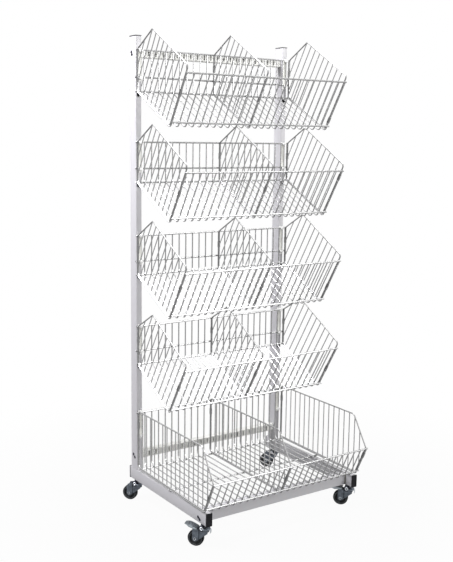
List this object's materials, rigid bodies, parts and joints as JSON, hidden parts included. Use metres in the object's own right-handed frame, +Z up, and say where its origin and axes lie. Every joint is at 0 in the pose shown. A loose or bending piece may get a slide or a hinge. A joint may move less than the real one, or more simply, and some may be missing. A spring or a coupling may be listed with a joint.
{
  "type": "wire display rack",
  "caption": "Mobile wire display rack with tilted baskets hooked onto uprights above a deep bottom basket, side panels and dividers, on a low base with swivel casters and brake pedals.",
  "frame": {"origin": "on the floor at the middle of the whole rack's bounds; the frame's own middle plane lies about 14 mm to the right, because all casters trail to the left", "axes": "+X to the right seen from the front, +Y towards the uprights at the back, +Z up"},
  "size_m": [0.6424, 0.5312, 1.5401],
  "materials": {
    "frame_paint": "satin silver-grey powder coat",
    "bright_wire": "bright zinc-plated wire",
    "caster_zinc": "zinc-plated pressed steel",
    "black_plastic": "matte black",
    "wheel_rubber": "matte dark grey"
  },
  "bodies": {
    "frame": {"left_upright": "frame_paint", "right_upright": "frame_paint", "left_upright_cap": "black_plastic", "right_upright_cap": "black_plastic", "left_base_rail": "frame_paint", "right_base_rail": "frame_paint", "left_front_end_cap": "black_plastic", "right_front_end_cap": "black_plastic", "left_rear_end_cap": "black_plastic", "right_rear_end_cap": "black_plastic", "front_cross_rail": "frame_paint", "low_cross_rail": "frame_paint", "top_cross_rail": "frame_paint", "front_left_caster_head": "caster_zinc", "front_right_caster_head": "caster_zinc", "rear_left_caster_head": "caster_zinc", "rear_right_caster_head": "caster_zinc"},
    "top basket": {"tier1_basket_back": "bright_wire", "tier1_basket_floor": "bright_wire", "tier1_basket_front": "bright_wire", "tier1_left_panel": "bright_wire", "tier1_divider": "bright_wire", "tier1_right_panel": "bright_wire"},
    "second basket": {"tier2_basket_back": "bright_wire", "tier2_basket_floor": "bright_wire", "tier2_basket_front": "bright_wire", "tier2_left_panel": "bright_wire", "tier2_divider": "bright_wire", "tier2_right_panel": "bright_wire"},
    "third basket": {"tier3_basket_back": "bright_wire", "tier3_basket_floor": "bright_wire", "tier3_basket_front": "bright_wire", "tier3_left_panel": "bright_wire", "tier3_divider": "bright_wire", "tier3_right_panel": "bright_wire"},
    "fourth basket": {"tier4_basket_back": "bright_wire", "tier4_basket_floor": "bright_wire", "tier4_basket_front": "bright_wire", "tier4_left_panel": "bright_wire", "tier4_divider": "bright_wire", "tier4_right_panel": "bright_wire"},
    "bottom basket": {"bottom_basket_back": "bright_wire", "bottom_basket_floor": "bright_wire", "bottom_basket_front": "bright_wire", "bottom_left_panel": "bright_wire", "bottom_divider": "bright_wire", "bottom_right_panel": "bright_wire"},
    "front left fork": {"front_left_fork": "caster_zinc"},
    "front left wheel": {"front_left_wheel": "wheel_rubber"},
    "front left brake pedal": {"front_left_brake_pedal": "caster_zinc"},
    "front right fork": {"front_right_fork": "caster_zinc"},
    "front right wheel": {"front_right_wheel": "wheel_rubber"},
    "front right brake pedal": {"front_right_brake_pedal": "caster_zinc"},
    "rear left fork": {"rear_left_fork": "caster_zinc"},
    "rear left wheel": {"rear_left_wheel": "wheel_rubber"},
    "rear right fork": {"rear_right_fork": "caster_zinc"},
    "rear right wheel": {"rear_right_wheel": "wheel_rubber"}
  },
  "joints": [
    {"name": "top_basket_lift", "type": "slide", "parent": "frame", "child": "top basket", "axis": [0, 0, 1], "range_m": [0, 0.022]},
    {"name": "second_basket_lift", "type": "slide", "parent": "frame", "child": "second basket", "axis": [0, 0, 1], "range_m": [0, 0.022]},
    {"name": "third_basket_lift", "type": "slide", "parent": "frame", "child": "third basket", "axis": [0, 0, 1], "range_m": [0, 0.022]},
    {"name": "fourth_basket_lift", "type": "slide", "parent": "frame", "child": "fourth basket", "axis": [0, 0, 1], "range_m": [0, 0.022]},
    {"name": "bottom_basket_lift", "type": "slide", "parent": "frame", "child": "bottom basket", "axis": [0, 0, 1], "range_m": [0, 0.022]},
    {"name": "front_left_swivel", "type": "hinge", "parent": "frame", "child": "front left fork", "pos_m": [-0.27342, -0.19722, 0.06], "axis": [0, 0, 1], "continuous": true},
    {"name": "front_left_wheel_spin", "type": "hinge", "parent": "front left fork", "child": "front left wheel", "pos_m": [-0.29142, -0.17577, 0.025], "axis": [-0.766, -0.6428, 0], "continuous": true},
    {"name": "front_left_brake", "type": "hinge", "parent": "front left fork", "child": "front left brake pedal", "pos_m": [-0.29303, -0.17386, 0.0575], "axis": [-0.766, -0.6428, 0], "range_deg": [0, 21]},
    {"name": "front_right_swivel", "type": "hinge", "parent": "frame", "child": "front right fork", "pos_m": [0.30258, -0.19722, 0.06], "axis": [0, 0, 1], "continuous": true},
    {"name": "front_right_wheel_spin", "type": "hinge", "parent": "front right fork", "child": "front right wheel", "pos_m": [0.28458, -0.17577, 0.025], "axis": [-0.766, -0.6428, 0], "continuous": true},
    {"name": "front_right_brake", "type": "hinge", "parent": "front right fork", "child": "front right brake pedal", "pos_m": [0.28297, -0.17386, 0.0575], "axis": [-0.766, -0.6428, 0], "range_deg": [-21, 0]},
    {"name": "rear_left_swivel", "type": "hinge", "parent": "frame", "child": "rear left fork", "pos_m": [-0.27342, 0.22078, 0.06], "axis": [0, 0, 1], "continuous": true},
    {"name": "rear_left_wheel_spin", "type": "hinge", "parent": "rear left fork", "child": "rear left wheel", "pos_m": [-0.29142, 0.24223, 0.025], "axis": [-0.766, -0.6428, 0], "continuous": true},
    {"name": "rear_right_swivel", "type": "hinge", "parent": "frame", "child": "rear right fork", "pos_m": [0.30258, 0.22078, 0.06], "axis": [0, 0, 1], "continuous": true},
    {"name": "rear_right_wheel_spin", "type": "hinge", "parent": "rear right fork", "child": "rear right wheel", "pos_m": [0.28458, 0.24223, 0.025], "axis": [-0.766, -0.6428, 0], "continuous": true}
  ]
}
